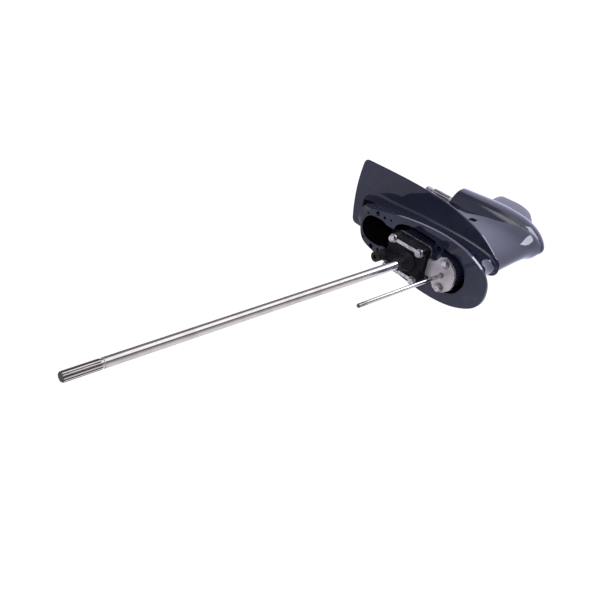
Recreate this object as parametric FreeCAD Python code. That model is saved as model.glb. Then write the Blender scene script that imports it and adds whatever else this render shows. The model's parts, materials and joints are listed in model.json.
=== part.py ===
import FreeCAD, Part
import math
import os

# Lower unit of an outboard motor, in millimetres.
# +X points forward to the nose, +Y to port, +Z up along the driveshaft.
# The origin is the driveshaft axis on the top mating face of the gearcase.

# Driveshaft
shaft_r = 8.5
shaft_top_z = 771.0
shaft_spline_length = 62.0
shaft_spline_teeth = 12
shaft_spline_depth = 1.3
shaft_undercut_width = 5.0
shaft_undercut_depth = 1.1
shaft_nose_chamfer = 1.5
shaft_thread_r = 5.5

# Gearcase outline: half of the top flange, nose to tail, and its wall
flange_half = [(160, 0), (151, 30), (122, 51), (78, 64), (25, 67),
               (-50, 59.5), (-110, 47.5), (-146, 37), (-161, 17), (-164, 0)]
flange_edge = 7.0
flange_round = 1.5
# Share of chord and share of half width of a strut section, nose to tail
foil_shape = [(0, 0), (0.012, 0.36), (0.05, 0.66), (0.14, 0.90), (0.27, 1.0),
              (0.44, 0.93), (0.64, 0.78), (0.83, 0.58), (0.962, 0.34), (1, 0)]
strut_nose_x = 107.0
strut_tail_x = -250.0
strut_half_width = 25.0
# The flare thins from the flange outline to the strut with this power of the height that is left
flare_power = 2.4
flare_steps = 9
root_fillet = 5.0
root_fillet_steps = 4
root_fillet_sink = 0.15
# Where the middle of a rounded edge lies, as a share of its depth
rim_share = 0.3

# Boss behind the flange that holds the trim tab's bolt
tab_boss_top_z = -70.0
tab_boss_front_x = -190.0
tab_boss_rear_x = -225.0

# Anti-ventilation plate
plate_z = -112.0
plate_thickness = 8.0
plate_edge_thickness = 5.0
plate_edge_round = 1.8
plate_side = [(-266, 77.5), (-200, 79.5), (-150, 80), (-100, 79),
              (-50, 76), (0, 67), (50, 50.5), (90, 25), (102, 13.5)]
plate_under_inset = 12.0
plate_tip_x = 107.5
plate_rear_x = -287.0
plate_rear_corner = (-281, 66)
plate_corner_round = 13.0
corner_swing = 0.29

# Lower strut, torpedo and skeg: height, nose, tail and half width of each strut and skeg section
prop_axis_z = -283.0
lower_strut = [(-116, 109, -124, 24), (-150, 106.5, -122, 23), (-190, 103.5, -121, 23),
               (-222, 101.5, -121, 25.5), (-246, 101, -121, 31.5), (-262, 102, -120, 35),
               (-276, 103.5, -119, 28)]
torpedo_profile = [(-125, 41.6), (-87, 44.4), (-33, 47.6), (10, 46.8), (49, 41.2), (83, 26.5), (98, 14)]
torpedo_nose_x = 105.5
skeg_sections = [(-300, 70, -104, 6.5), (-345, 46, -107, 5.5), (-393, 3, -110, 4.4),
                 (-420, -20, -114, 3.6), (-436, -50, -112, 2.6)]

# Recess for the pump and passage for the exhaust
recess_half = [(112, 0), (108, 15), (97, 31), (70, 41), (25, 48),
               (-20, 50), (-55, 46), (-72, 36), (-79, 18), (-81, 0)]
recess_floor_half = [(104, 0), (100, 11), (89, 22), (64, 31), (22, 35),
                     (-20, 36), (-52, 33), (-66, 26), (-73, 13), (-75, 0)]
recess_floor_z = -32.0
exhaust_half = [(-90, 0), (-92, 17), (-103, 27), (-122, 28.5), (-144, 24), (-155, 12), (-158, 0)]
# Height, rear, front and half width of the passage on its way down
exhaust_steps = [(-42, -141, -97, 14), (-80, -130, -92, 12), (-116, -112, -72, 11.5),
                 (-165, -96, -56, 11), (-215, -92, -54, 11), (-250, -92, -56, 11)]
exhaust_shape = [(0, 0), (0.06, 0.6), (0.27, 0.97), (0.5, 1.0), (0.77, 0.9), (0.95, 0.5), (1, 0)]
# Island in the recess that carries the pump and the shift rod plate
island_top_z = 12.0
island_half = [(96, 0), (94, 13), (84, 26), (66, 32), (20, 35.5),
               (-20, 36), (-49, 35), (-58, 27), (-62, 14), (-63, 0)]

# Bolt holes in the flange
flange_bolt_rear_x = -124.0
flange_bolt_front_x = 38.0
flange_bolt_y = 37.0
flange_bolt_r = 5.25
flange_bolt_depth = 26.0
flange_boss_r = 11.0
flange_notch_r = 8.0
# x, y and radius of the small holes in the rear rim
flange_small_holes = [(-149, 27, 2.4), (-105, 36, 3.2), (-88, 38, 2.6)]
small_hole_depth = 12.0
cross_wall_drop = 14.0
bolt_hole_depth = 24.0

# Shift rod and the plate that holds it
rod_x = 70.0
rod_r = 4.0
rod_top_z = 248.0
rod_spline_length = 17.0
rod_spline_teeth = 10
rod_spline_depth = 0.8
rod_groove_width = 1.2
rod_groove_depth = 0.7
rod_wiper_z = 18.6
rod_clearance = 0.25
retainer_thickness = 6.0
retainer_bolt_y = 26.0
retainer_bolt_x = 72.0
# Half of the plate's outline, nose to tail, with a hollow beside each front bolt hole of the flange
retainer_half = [(100, 9), (96, 20), (82, 32), (68, 37), (58, 33), (51, 22), (42, 17), (28, 17)]
retainer_round = 3.0
retainer_gap = 0.4
rod_seal_width = 3.0
rod_seal_height = 2.5
m8_r = 4.0
m8_head_af = 13.0
m8_head_height = 5.5
bolt_washer = 1.4
washer_share = 0.62
seat_share = 0.68
eye_share = 0.66

# Water pump
pump_gasket = 0.5
pump_plate_thickness = 1.5
pump_front_x = 33.0
pump_rear_x = -55.0
pump_half_width = 39.0
pump_corner = 9.0
pump_foot_height = 6.0
pump_top_z = 38.5
pump_inset = 2.0
pump_tower_z = 67.0
pump_tower_r = 14.0
pump_bolt_xs = (-43.0, 24.5)
pump_bolt_y = 30.0
pump_strip_thickness = 2.0
pump_strip_half_width = 3.6
impeller_r = 22.5
impeller_vanes = 6
impeller_height = 17.0
impeller_hub_r = 13.0
vane_thickness = 3.2
vane_sweep = 5.4
vane_bead_r = 2.2
cup_r = 26.0
cup_wall = 1.5
cup_offset_y = 2.2
key_size = 3.2
key_length = 13.0
slinger_r = 12.0
slinger_height = 3.2
slinger_gap = 0.4
slinger_groove_depth = 1.0
outlet_x = -57.0
outlet_y = -13.0
outlet_r = 10.5
outlet_bore_r = 4.5
outlet_stub_bore_r = 4.2
outlet_stub_height = 8.0
outlet_boss_r = 7.6

# Shaft seals, bearings and bores
running_gap = 0.05
bore_gap = 2.5
seal_carrier_r = 19.0
seal_carrier_height = 16.0
seal_r = 15.0
needle_r = 14.0
needle_length = 22.0
needle_top_z = -12.0
upper_rollers = 16

# Bevel gears
gear_module = 2.8
pinion_teeth = 13
gear_teeth = 24
pressure_angle = 20.0
face_width = 11.0
pinion_addendum = 1.10
gear_addendum = 0.65
root_gap = 0.3
backlash = 0.22
pinion_hub_r = 15.0
pinion_hub_height = 8.0
pinion_bore_r = 7.5
nut_af = 17.0
nut_height = 4.6
pinion_bearing_r = 19.5
pinion_bearing_height = 14.0
pinion_rollers = 14
gear_hub_r = 15.5
gear_hub_length = 16.0
gear_back_x = 26.0
crown_bearing_r = 27.0
crown_bearing_length = 13.0
crown_rollers = 18

# Clutch and shift
dog_r = 15.5
dog_body_half = 5.5
lug_height = 3.0
lug_count = 6
lug_inner_r = 11.3
lug_angle = 26.0
gear_lug_face_x = 12.6
cross_pin_r = 2.5
shift_travel = 3.85
plunger_r = 5.0
plunger_gap = 0.15
follower_r = 10.0
follower_rear_x = 54.0
follower_front_x = 83.0
crank_offset = 6.5
crank_pin_r = 2.2
crank_disc_r = 10.0
crank_disc_height = 6.0

# Propeller shaft and bearing carrier
prop_front_x = 46.0
prop_front_r = 9.5
prop_mid_r = 11.0
prop_step_x = -14.0
prop_seal_r = 12.5
prop_seal_x = -100.0
prop_taper_x = -133.0
prop_pilot_x = -142.0
prop_pilot_r = 10.6
prop_spline_x = -150.0
prop_spline_end_x = -197.0
prop_spline_r = 10.0
prop_spline_teeth = 13
prop_spline_depth = 1.2
prop_end_x = -219.0
prop_thread_r = 8.0
case_bore_r = 37.5
case_rear_x = -125.0
carrier_gap = 0.1
carrier_front_x = -28.0
carrier_web_x = -50.0
carrier_hub_r = 20.0
carrier_ring_x = -108.0
carrier_ring_r = 32.0
ring_nut_front_x = -118.0
carrier_ribs = 4
carrier_rib_thickness = 5.0
carrier_needle_r = 15.0
carrier_needle_length = 24.0
carrier_rollers = 18
carrier_bore_gap = 1.5
o_ring_x = -45.0
o_ring_width = 2.6
o_ring_depth = 2.4
ring_nut_length = 5.5
ring_nut_notches = 8
prop_seal_outer_r = 17.5
prop_seal_length = 14.0

# Trim tab, water inlets and oil plugs
tab_x = -208.0
tab_front_x = -188.0
tab_rear_x = -256.0
tab_depth = 46.0
tab_half_width = 7.0
tab_thinning = 0.45
tab_disc_r = 17.0
tab_disc_height = 5.0
tab_bolt_r = 4.0
inlet_x = -37.0
inlet_z = -214.0
inlet_length = 17.0
inlet_height = 14.0
inlet_depth = 6.0
screen_thickness = 1.2
water_way_r = 4.0
pump_inlet_x = -23.0
plug_r = 4.0
plug_head_r = 6.5
plug_head_height = 2.6
plug_gasket = 0.6
plug_length = 6.0
# x, z and the y of the face under the head: drain below the gears, vent high in the strut
oil_plug_places = [(30.0, -306.0, -36.6), (44.0, -140.0, -21.8)]
tab_plug_r = 7.6
tab_plug_height = 4.0
tab_bolt_seat_z = -92.0


def V(x, y, z):
    return FreeCAD.Vector(x, y, z)


# Basic forms

def upright(r, z0, z1, x=0.0, y=0.0):
    low, high = min(z0, z1), max(z0, z1)
    return Part.makeCylinder(r, high - low, V(x, y, low))


def lengthwise(r, x0, x1, y=0.0, z=prop_axis_z):
    low, high = min(x0, x1), max(x0, x1)
    return Part.makeCylinder(r, high - low, V(low, y, z), V(1, 0, 0))


def block(x0, x1, y0, y1, z0, z1):
    return Part.makeBox(x1 - x0, y1 - y0, z1 - z0, V(x0, y0, z0))


def turned_upright(profile, x=0.0, y=0.0):
    # profile: (radius, z) points of a closed outline, turned about a vertical axis
    points = [V(x + r, y, z) for r, z in profile]
    face = Part.Face(Part.makePolygon(points + points[:1]))
    return face.revolve(V(x, y, 0), V(0, 0, 1), 360)


def turned_lengthwise(profile):
    # profile: (x, radius) points of a closed outline, turned about the propeller shaft's axis
    points = [V(x, 0, prop_axis_z + r) for x, r in profile]
    face = Part.Face(Part.makePolygon(points + points[:1]))
    return face.revolve(V(0, 0, prop_axis_z), V(1, 0, 0), 360)


def ring_x(outer, inner, x0, x1):
    return turned_lengthwise([(x0, inner), (x0, outer), (x1, outer), (x1, inner)])


def ring_z(outer, inner, z0, z1, x=0.0, y=0.0):
    return turned_upright([(inner, z0), (outer, z0), (outer, z1), (inner, z1)], x, y)


def spacing(halves):
    # Mean distance between neighbouring points of several outlines, each as a share of its whole length
    steps = [0.0] * (len(halves[0]) - 1)
    for half in halves:
        lengths = [math.dist(a, b) for a, b in zip(half, half[1:])]
        steps = [step + length / sum(lengths) for step, length in zip(steps, lengths)]
    return steps


def running_sum(steps):
    sums = [0.0]
    for step in steps:
        sums.append(sums[-1] + step)
    return sums


def closed_outline(half, z, steps=None):
    # A smooth outline that is the same to port and starboard
    port = [V(x, y, z) for x, y in half]
    starboard = [V(x, -y, z) for x, y in reversed(half[1:-1])]
    steps = steps or spacing([half])
    knots = running_sum(steps + steps[::-1])
    curve = Part.BSplineCurve()
    curve.interpolate(Points=port + starboard, PeriodicFlag=True, Parameters=knots)
    return Part.Wire([curve.toShape()])


def prism(wire, height):
    return Part.Face(wire).extrude(V(0, 0, height))


def skin(sections, ruled=False, steps=None):
    # sections: (half outline, z) from end to end. All have their knots at the same shares of the way round.
    steps = steps or spacing([half for half, z in sections])
    return Part.makeLoft([closed_outline(half, z, steps) for half, z in sections], True, ruled)


def foil(nose, tail, half_width):
    return [(nose + share * (tail - nose), width * half_width) for share, width in foil_shape]


def hexagon_prism(af, z0, height, x, y):
    corner = af / math.sqrt(3)
    turns = [math.radians(60 * i) for i in range(7)]
    points = [V(x + corner * math.cos(turn), y + corner * math.sin(turn), z0) for turn in turns]
    body = Part.Face(Part.makePolygon(points)).extrude(V(0, 0, height))
    # The corners of a bolt head are turned off on top
    top = z0 + height
    outer = corner + 0.1
    dome = [(0, z0), (outer, z0), (outer, top - 1.6), (corner - 1.6, top), (0, top)]
    return body.common(turned_upright(dome, x, y))


def hex_bolt(x, y, seat_z, length, r=m8_r, af=m8_head_af, head=m8_head_height):
    washer = upright(af * washer_share, seat_z, seat_z + bolt_washer, x, y)
    shank = upright(r, seat_z - length, seat_z, x, y)
    return hexagon_prism(af, seat_z + bolt_washer, head, x, y).fuse([washer, shank]).removeSplitter()


def turned_copies(piece, count, centre, axis):
    copies = []
    for i in range(count):
        one = piece.copy()
        one.rotate(centre, axis, 360.0 * i / count)
        copies.append(one)
    return copies


def round_upright(piece, count, x=0.0):
    return turned_copies(piece, count, V(x, 0, 0), V(0, 0, 1))


def round_prop_axis(piece, count):
    return turned_copies(piece, count, V(0, 0, prop_axis_z), V(1, 0, 0))


def spline_cutters(r, depth, teeth, z0, z1, x=0.0):
    # One groove for each tooth of a splined end
    width = math.pi * r / teeth
    groove = block(x + r - depth, x + r + 1.0, -width / 2, width / 2, z0, z1)
    return round_upright(groove, teeth, x)


# Gearcase

def flare_outline(share_left):
    strut = foil(strut_nose_x, strut_tail_x, strut_half_width)
    return [(a + share_left * (c - a), b + share_left * (d - b)) for (a, b), (c, d) in zip(strut, flange_half)]


def flare_sections():
    # From the foot of the flange's edge down to the middle of the plate
    drop = plate_z + flange_edge
    sections = []
    for i in range(flare_steps + 1):
        share = i / flare_steps
        sections.append((flare_outline((1 - share) ** flare_power), drop * share - flange_edge))
    return sections + [(flare_outline(0.0), plate_z - plate_thickness / 2)]


def flare_spacing():
    return spacing([half for half, z in flare_sections()])


def grown(half, amount):
    middle = (half[0][0] + half[-1][0]) / 2
    return [(x + (amount if x > middle else -amount), y + (amount if y else 0)) for x, y in half]


def rounded_rim(depth):
    # How far an edge that is rounded over that depth has drawn in, at three depths
    return [(0.0, depth), (rim_share * depth, rim_share * depth), (depth, 0.0)]


def flange_slab():
    steps = flare_spacing()
    slab = prism(closed_outline(flange_half, -flange_edge, steps), flange_edge - flange_round)
    rim = [(grown(flange_half, -inset), -depth) for depth, inset in rounded_rim(flange_round)]
    return slab.fuse(skin(rim, True, steps))


def root_fillet_skirt():
    # Hollow quarter round where the strut meets the top of the plate
    strut = foil(strut_nose_x, strut_tail_x, strut_half_width)
    sections = []
    for i in range(root_fillet_steps + 1):
        turn = math.pi / 2 * i / root_fillet_steps
        out = root_fillet * (1 - math.cos(turn)) - root_fillet_sink
        sections.append((grown(strut, out), plate_z + root_fillet * (1 - math.sin(turn))))
    sections.append((grown(strut, root_fillet), plate_z - 1))
    return skin(sections, True, flare_spacing())


def upper_case():
    # The wall sweeps in from the flange to the narrow strut, and runs on into the plate. Behind the flange
    # it is cut off flat for the trim tab's bolt, and slopes down from there to its tail.
    step = block(-400, tab_boss_front_x, -100, 100, tab_boss_top_z, 10)
    slope = [V(tab_boss_rear_x, -100, tab_boss_top_z), V(strut_tail_x, -100, plate_z + root_fillet),
             V(-400, -100, plate_z + root_fillet), V(-400, -100, tab_boss_top_z)]
    tail = Part.Face(Part.makePolygon(slope + slope[:1])).extrude(V(0, 200, 0))
    return skin(flare_sections()).cut([step, tail]).fuse(flange_slab())


def smooth_edge(points, parameters=None):
    curve = Part.BSplineCurve()
    if parameters:
        curve.interpolate(Points=points, Parameters=parameters)
    else:
        curve.interpolate(Points=points)
    return curve.toShape()


def plate_wire(z, inset):
    # Straight rear corners with large rounds, and one smooth curve along each side to the tip
    side = [(x, y - inset) for x, y in plate_side]
    port = [V(x, y, z) for x, y in side] + [V(plate_tip_x - inset, 0, z)]
    starboard = [V(x, -y, z) for x, y in reversed(side)]
    steps = spacing([plate_side + [(plate_tip_x, 0)]])
    long_curve = smooth_edge(port + starboard, running_sum(steps + steps[::-1]))
    start, end = port[0], starboard[-1]
    corner_x, corner_y = plate_rear_corner[0] + inset, plate_rear_corner[1] - inset
    rear_port, rear_star = V(corner_x, corner_y, z), V(corner_x, -corner_y, z)
    bow = smooth_edge([rear_star, V(plate_rear_x + inset, 0, z), rear_port])
    swing = plate_corner_round * corner_swing
    port_mid = V(corner_x + swing, start.y - swing, z)
    star_mid = V(corner_x + swing, -start.y + swing, z)
    port_corner = smooth_edge([rear_port, port_mid, start])
    star_corner = smooth_edge([end, star_mid, rear_star])
    return Part.Wire([long_curve, star_corner, bow, port_corner])


def plate():
    taper = plate_thickness - plate_edge_thickness
    rim = rounded_rim(plate_edge_round)
    rim += [(plate_edge_thickness - depth, inset) for depth, inset in reversed(rim)]
    top = Part.makeLoft([plate_wire(plate_z - depth, inset) for depth, inset in rim], True, True)
    under_top = plate_wire(plate_z - plate_edge_thickness + 0.01, plate_under_inset / 2)
    under_foot = plate_wire(plate_z - plate_thickness, plate_under_inset + taper)
    return top.fuse(Part.makeLoft([under_top, under_foot], True, True))


def torpedo():
    curve = Part.BSplineCurve()
    points = [V(x, 0, prop_axis_z + r) for x, r in torpedo_profile] + [V(torpedo_nose_x, 0, prop_axis_z)]
    curve.interpolate(Points=points, FinalTangent=V(0, 0, -1), InitialTangent=V(1, 0, 0.06))
    start, end = points[0], points[-1]
    foot = V(start.x, 0, prop_axis_z)
    wire = Part.Wire([curve.toShape(), Part.makeLine(end, foot), Part.makeLine(foot, start)])
    return Part.Face(wire).revolve(V(0, 0, prop_axis_z), V(1, 0, 0), 360)


def lower_case():
    strut = skin([(foil(nose, tail, half), z) for z, nose, tail, half in lower_strut])
    skeg = skin([(foil(nose, tail, half), z) for z, nose, tail, half in skeg_sections])
    return strut.fuse([torpedo(), skeg])


def exhaust_passage():
    # From the flange down behind the driveshaft and into the space round the bearing carrier
    sections = [(exhaust_half, 1.0), (exhaust_half, -8.0)]
    for z, rear, front, half in exhaust_steps:
        sections.append(([(front + a * (rear - front), b * half) for a, b in exhaust_shape], z))
    return skin(sections, True)


def case_bores():
    pinion_top = pinion_bearing_top()
    shift_disc_top = prop_axis_z + follower_r + 0.6 + crank_disc_height + 0.6
    chamber_front = follower_front_x + shift_travel + 1.0
    chamber_rear = crown_seat_front_x() - 1.0
    return [
        upright(shaft_r + bore_gap, island_top_z + 1, prop_axis_z + 30),
        upright(seal_carrier_r, island_top_z + 1, seal_carrier_floor_z()),
        upright(needle_r, island_top_z, needle_top_z - needle_length),
        upright(pinion_bearing_r, pinion_top, pinion_top - pinion_bearing_height - 1),
        upright(pinion_cavity_r(), pinion_top - pinion_bearing_height, prop_axis_z),
        upright(rod_r + 1.5, island_top_z + 1, prop_axis_z + follower_r, rod_x),
        upright(crank_disc_r + 0.6, shift_disc_top, prop_axis_z, rod_x),
        lengthwise(case_bore_r, case_rear_x - 1, gear_back_x + 3.0),
        lengthwise(crown_bearing_r, gear_back_x, crown_seat_front_x()),
        lengthwise(follower_r + 0.1, chamber_rear, chamber_front),
    ]


def strut_side_y():
    # Half width of the lower strut at the height of the water inlets
    return lower_strut[2][3] - 1.4


def inlet_pocket(side):
    # A shallow recess in the side of the lower strut
    inner = strut_side_y() - inlet_depth
    low, high = sorted((side * inner, side * (inner + inlet_depth + 12)))
    half_l, half_h = inlet_length / 2, inlet_height / 2
    return block(inlet_x - half_l, inlet_x + half_l, low, high, inlet_z - half_h, inlet_z + half_h)


def water_way():
    # From both inlets to the middle of the strut, up to the island and along to the pump's inlet
    cross = Part.makeCylinder(water_way_r, 2 * strut_side_y(), V(inlet_x, -strut_side_y(), inlet_z), V(0, 1, 0))
    riser = upright(water_way_r, inlet_z, island_top_z + 1, inlet_x)
    channel = block(inlet_x, pump_inlet_x + 2, -water_way_r, water_way_r, island_top_z - 5, island_top_z + 1)
    return [cross, riser, channel]


def plug_holes():
    # Spot face and hole for each oil plug, all on the starboard side
    holes = []
    for x, z, face_y in oil_plug_places:
        holes.append(Part.makeCylinder(plug_head_r + 0.7, 20, V(x, face_y, z), V(0, -1, 0)))
        holes.append(Part.makeCylinder(plug_r, plug_length + 1, V(x, face_y, z), V(0, 1, 0)))
    return holes


def flange_bosses(shell):
    # A round boss in each front corner of the recess, tied to the wall beside it
    bosses = []
    for side in (-1, 1):
        y = side * flange_bolt_y
        low, high = sorted((y, side * 60))
        bosses.append(upright(flange_boss_r, recess_floor_z - 2, 0, flange_bolt_front_x, y))
        web = block(flange_bolt_front_x - flange_boss_r, flange_bolt_front_x + flange_boss_r,
                    low, high, recess_floor_z - 2, 0)
        bosses.append(web.common(shell))
    return bosses


def flange_notches():
    # Room above the flange face for what the front bolts pass through
    top = island_top_z + 1
    return [upright(flange_notch_r, 0, top, flange_bolt_front_x, side * flange_bolt_y) for side in (-1, 1)]


def gearcase_housing():
    shell = upper_case()
    case = shell.fuse(plate())
    case = case.fuse(root_fillet_skirt())
    case = case.fuse(lower_case())
    case = case.cut(skin([(recess_half, 1.0), (recess_floor_half, recess_floor_z)], True))
    case = case.cut(exhaust_passage())
    island = prism(closed_outline(island_half, recess_floor_z - 2), island_top_z - recess_floor_z + 2)
    case = case.fuse([island] + flange_bosses(shell))
    cuts = case_bores() + water_way() + plug_holes() + flange_notches()
    for side in (-1, 1):
        for x in (flange_bolt_front_x, flange_bolt_rear_x):
            cuts.append(upright(flange_bolt_r, 1, -flange_bolt_depth, x, side * flange_bolt_y))
        foot = island_top_z - bolt_hole_depth
        cuts.append(upright(m8_r, island_top_z + 1, foot, retainer_bolt_x, side * retainer_bolt_y))
        for x in pump_bolt_xs:
            cuts.append(upright(m8_r, island_top_z + 1, foot, x, side * pump_bolt_y))
        for x, y, r in flange_small_holes:
            cuts.append(upright(r, 1, -small_hole_depth, x, side * y))
        cuts.append(inlet_pocket(side))
    cuts.append(upright(tab_bolt_r + 0.4, tab_boss_top_z, plate_z - plate_thickness - 1, tab_x))
    cuts.append(upright(tab_plug_r, tab_boss_top_z + 1, tab_bolt_seat_z, tab_x))
    wall_gap = block(exhaust_half[0][0] - 8, recess_half[-1][0] + 8, -24, 24, -cross_wall_drop, 1)
    cuts.append(wall_gap)
    return case.cut(cuts)


# Derived heights and places

def pinion_cone():
    pitch_pinion = gear_module * pinion_teeth / 2
    pitch_gear = gear_module * gear_teeth / 2
    return pitch_pinion, pitch_gear


def pinion_cavity_r():
    return gear_module * pinion_teeth / 2 + gear_module * pinion_addendum + 1.5


def pinion_back_z():
    # Top of the pinion's hub, where its bearing sits
    return prop_axis_z + gear_module * gear_teeth / 2 + pinion_hub_height


def pinion_bearing_top():
    return pinion_back_z() + pinion_bearing_height


def seal_carrier_floor_z():
    return island_top_z - seal_carrier_height


def crown_seat_front_x():
    return gear_back_x + 3.0 + crown_bearing_length + 1.0


# Driveshaft and what turns with it

def driveshaft():
    nut_top = pinion_nut_top_z()
    shoulder = pinion_back_z() + 0.5
    thread_end = nut_top - nut_height - 0.8
    profile = [(0, shaft_top_z), (shaft_r - shaft_nose_chamfer, shaft_top_z)]
    profile.append((shaft_r, shaft_top_z - shaft_nose_chamfer * 1.5))
    under_top = shaft_top_z - shaft_spline_length
    under_low = under_top - shaft_undercut_width
    neck = shaft_r - shaft_undercut_depth
    profile += [(shaft_r, under_top), (neck, under_top - 1), (neck, under_low + 1), (shaft_r, under_low)]
    groove_low, groove_high = slinger_z(), slinger_z() + slinger_height
    groove_r = shaft_r - slinger_groove_depth
    profile += [(shaft_r, groove_high), (groove_r, groove_high), (groove_r, groove_low), (shaft_r, groove_low)]
    profile += [(shaft_r, shoulder), (pinion_bore_r, shoulder), (pinion_bore_r, nut_top + 1)]
    profile += [(shaft_thread_r, nut_top), (shaft_thread_r, thread_end), (0, thread_end)]
    shaft = turned_upright(profile)
    cutters = spline_cutters(shaft_r, shaft_spline_depth, shaft_spline_teeth, under_top - 1, shaft_top_z + 1)
    cutters.append(impeller_key())
    return shaft.cut(cutters)


def slinger_z():
    return pump_tower_z + slinger_gap


def driveshaft_slinger():
    # Rubber ring in a groove of the shaft that throws water off above the pump's tower
    low = slinger_z()
    high = low + slinger_height
    groove_r = shaft_r - slinger_groove_depth
    outer = [(slinger_r, low), (slinger_r, low + 1.4), (shaft_r + 1, high)]
    return turned_upright([(groove_r, low)] + outer + [(groove_r, high)])


def pinion_nut_top_z():
    # The nut clamps the pinion's small end
    cone = math.hypot(*pinion_cone())
    inner = 1 - face_width / cone
    return prop_axis_z + pinion_cone()[1] * inner - 1.4


def pinion_nut():
    top = pinion_nut_top_z()
    nut = hexagon_prism(nut_af, top - nut_height, nut_height, 0, 0)
    return nut.cut(upright(shaft_thread_r, top + 1, top - nut_height - 1))


def impeller_base_z():
    return island_top_z + 2 * pump_gasket + pump_plate_thickness + 0.6


def impeller_key():
    z0 = impeller_base_z() + (impeller_height - key_length) / 2
    half = key_size / 2
    return block(shaft_r - half, shaft_r + half, -half, half, z0, z0 + key_length)


def impeller():
    # A hub with swept vanes whose tips end in a bead
    z0 = impeller_base_z()
    body = upright(impeller_hub_r, z0, z0 + impeller_height)
    root, tip = impeller_hub_r - 2, impeller_r - vane_bead_r
    start, mid, end = V(root, 0, z0), V((root + tip) / 2 + 2, vane_sweep * 0.3, z0), V(tip, vane_sweep, z0)
    across = V(-0.25, vane_thickness, 0)
    inner = Part.Arc(start, mid, end).toShape()
    outer = Part.Arc(end + across, mid + across, start + across).toShape()
    wire = Part.Wire([inner, Part.makeLine(end, end + across), outer, Part.makeLine(start + across, start)])
    vane = Part.Face(wire).extrude(V(0, 0, impeller_height))
    bead_y = vane_sweep + vane_thickness / 2
    vane = vane.fuse(upright(vane_bead_r, z0, z0 + impeller_height, tip - 0.2, bead_y))
    rubber = body.fuse(round_upright(vane, impeller_vanes)).removeSplitter()
    return rubber.cut([upright(shaft_r, z0 - 1, z0 + impeller_height + 1), impeller_key()])


# Bevel gears

def involute(angle):
    return math.tan(angle) - angle


def bevel_tooth(teeth, cone_angle, cone_length, addendum, dedendum):
    # One straight bevel tooth that points along +X, for a gear on the +Z axis with its apex at the origin.
    # The end is drawn as a spur tooth on the back cone's tangent plane and drawn in to the apex.
    pitch_r = cone_length * math.sin(cone_angle)
    spread_r = pitch_r / math.cos(cone_angle)
    base_r = spread_r * math.cos(math.radians(pressure_angle))
    half_at_pitch = math.pi * gear_module / 4 - backlash
    turn_at_pitch = half_at_pitch / spread_r + involute(math.radians(pressure_angle))
    low, high = spread_r - dedendum, spread_r + addendum
    flank = []
    for step in range(5):
        r = low + (high - low) * step / 4
        lean = involute(math.acos(min(1.0, base_r / r)))
        flank.append((r * math.sin(turn_at_pitch - lean), r * math.cos(turn_at_pitch - lean) - spread_r))
    foot_half, foot_height = flank[0][0] + 0.25, flank[0][1] - 1.2
    left = [(-foot_half, foot_height)] + [(-t, h) for t, h in flank]
    outline = left + [(-t, h) for t, h in reversed(left)]
    centre = (pitch_r, cone_length * math.cos(cone_angle))
    across, along = math.cos(cone_angle), math.sin(cone_angle)
    outer = [V(centre[0] + h * across, t, centre[1] - h * along) for t, h in outline]
    inner_share = 1 - face_width / cone_length
    inner = [p * inner_share for p in outer]
    wires = [Part.makePolygon(points + points[:1]) for points in (outer, inner)]
    return Part.makeLoft(wires, True, True)


def bevel_gear(teeth, mate_teeth, addendum, mate_addendum, back, hub_r, hub_end, bore_r, first_turn):
    # Gear on the +Z axis, apex at the origin; back is the height of its back face
    cone_angle = math.atan2(teeth, mate_teeth)
    cone_length = gear_module * math.hypot(teeth, mate_teeth) / 2
    high = addendum * gear_module
    low = mate_addendum * gear_module + root_gap * gear_module
    sine, cosine = math.sin(cone_angle), math.cos(cone_angle)
    root_r, root_z = cone_length * sine - low * cosine, cone_length * cosine + low * sine
    share = 1 - face_width / cone_length
    profile = [(bore_r, root_z * share), (root_r * share, root_z * share), (root_r, root_z), (root_r, back)]
    if hub_end > back:
        profile += [(hub_r, back), (hub_r, hub_end)]
    profile.append((bore_r, max(hub_end, back)))
    points = [V(r, 0, z) for r, z in profile]
    blank = Part.Face(Part.makePolygon(points + points[:1])).revolve(V(0, 0, 0), V(0, 0, 1), 360)
    tooth = bevel_tooth(teeth, cone_angle, cone_length, high, low)
    tooth.rotate(V(0, 0, 0), V(0, 0, 1), first_turn)
    return blank.fuse(round_upright(tooth, teeth))


def pinion_gear():
    half_step = 180.0 / pinion_teeth
    back = pinion_back_z() - prop_axis_z
    toe = back - pinion_hub_height + 1.6
    gear = bevel_gear(pinion_teeth, gear_teeth, pinion_addendum, gear_addendum, toe,
                      pinion_hub_r, back, pinion_bore_r, half_step)
    gear.translate(V(0, 0, prop_axis_z))
    return gear


def lugs(inner, outer, x0, x1, first_turn):
    # Blocks round the propeller shaft's axis that the clutch drives through
    wedges = []
    for i in range(lug_count):
        middle = first_turn + 360.0 * i / lug_count
        low = math.radians(middle - lug_angle / 2)
        points = []
        for radius, angles in ((inner, (0, 1)), (outer, (1, 0))):
            for end in angles:
                turn = low + math.radians(lug_angle) * end
                points.append(V(x0, radius * math.sin(turn), prop_axis_z + radius * math.cos(turn)))
        wedges.append(Part.Face(Part.makePolygon(points + points[:1])).extrude(V(x1 - x0, 0, 0)))
    return wedges


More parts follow.
